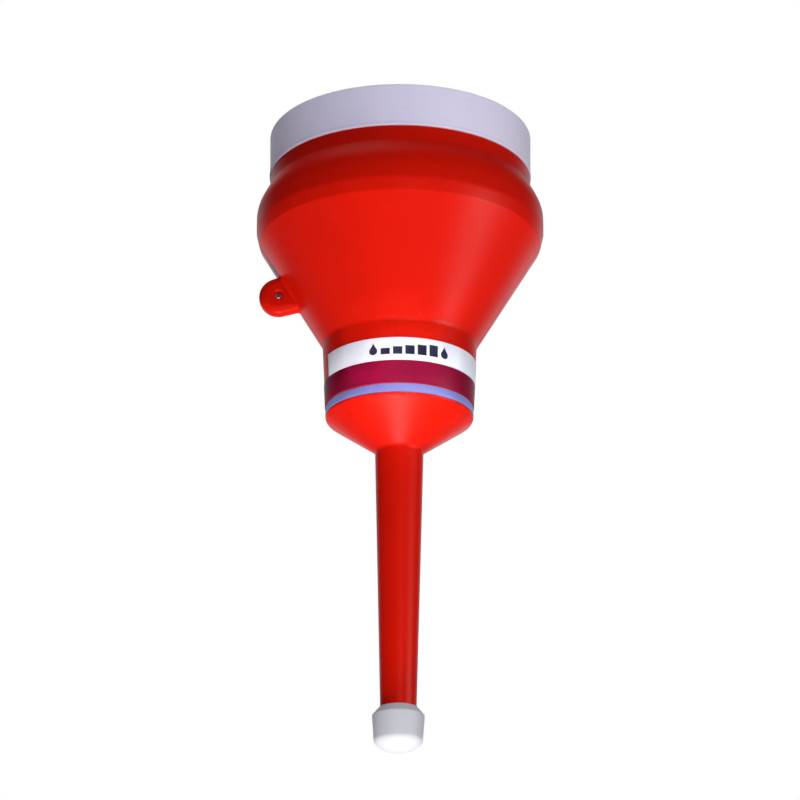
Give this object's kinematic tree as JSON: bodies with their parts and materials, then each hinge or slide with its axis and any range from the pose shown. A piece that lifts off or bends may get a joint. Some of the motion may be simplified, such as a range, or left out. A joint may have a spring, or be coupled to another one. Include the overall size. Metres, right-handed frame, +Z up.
{
  "type": "funnel",
  "caption": "Capped lubricant funnel: lidded round bowl with a hanging lug, a banded neck, a removable tapered spout with tip cap, and a lift-out strainer.",
  "frame": {"origin": "on the axis of revolution, at the lowest point of the tip cap's domed underside", "axes": "+Z up along the axis from spout to lid; the hanging lug points to -X; +Y is the back, where the tapes' seams are"},
  "size_m": [0.164, 0.164, 0.3648],
  "materials": {
    "red_moulding": "glossy moulded polyethylene, pigmented red",
    "white_moulding": "smooth moulded polyethylene, white",
    "seal_foam": "closed-cell foam",
    "label_film": "printed vinyl film",
    "band_film": "coloured vinyl film",
    "seal_pale": "moulded soft seal",
    "seal_rubber": "nitrile rubber",
    "strainer_plastic": "moulded nylon",
    "mesh_wire": "woven stainless wire"
  },
  "bodies": {
    "bowl": {"bowl": "red_moulding", "label_tape": "label_film", "id_band": "band_film"},
    "lid": {"lid": "white_moulding", "lid_seal": "seal_foam"},
    "strainer": {"strainer_frame": "strainer_plastic", "strainer_mesh": "mesh_wire", "strainer_clip_ring": "strainer_plastic", "strainer_pull": "strainer_plastic"},
    "spout_section": {"spout": "red_moulding", "joint_seal": "seal_pale", "spigot_o_ring": "seal_rubber"},
    "tip_cap": {"tip_cap": "white_moulding", "tip_cap_seal": "seal_foam"}
  },
  "joints": [
    {"name": "lid_lift", "type": "slide", "parent": "bowl", "child": "lid", "axis": [0, 0, 1], "range_m": [0, 0.06]},
    {"name": "strainer_lift", "type": "slide", "parent": "bowl", "child": "strainer", "axis": [0, 0, 1], "range_m": [0, 0.08]},
    {"name": "spout_pull", "type": "slide", "parent": "bowl", "child": "spout_section", "axis": [0, 0, -1], "range_m": [0, 0.04]},
    {"name": "tip_cap_pull", "type": "slide", "parent": "spout_section", "child": "tip_cap", "axis": [0, 0, -1], "range_m": [0, 0.05]}
  ]
}
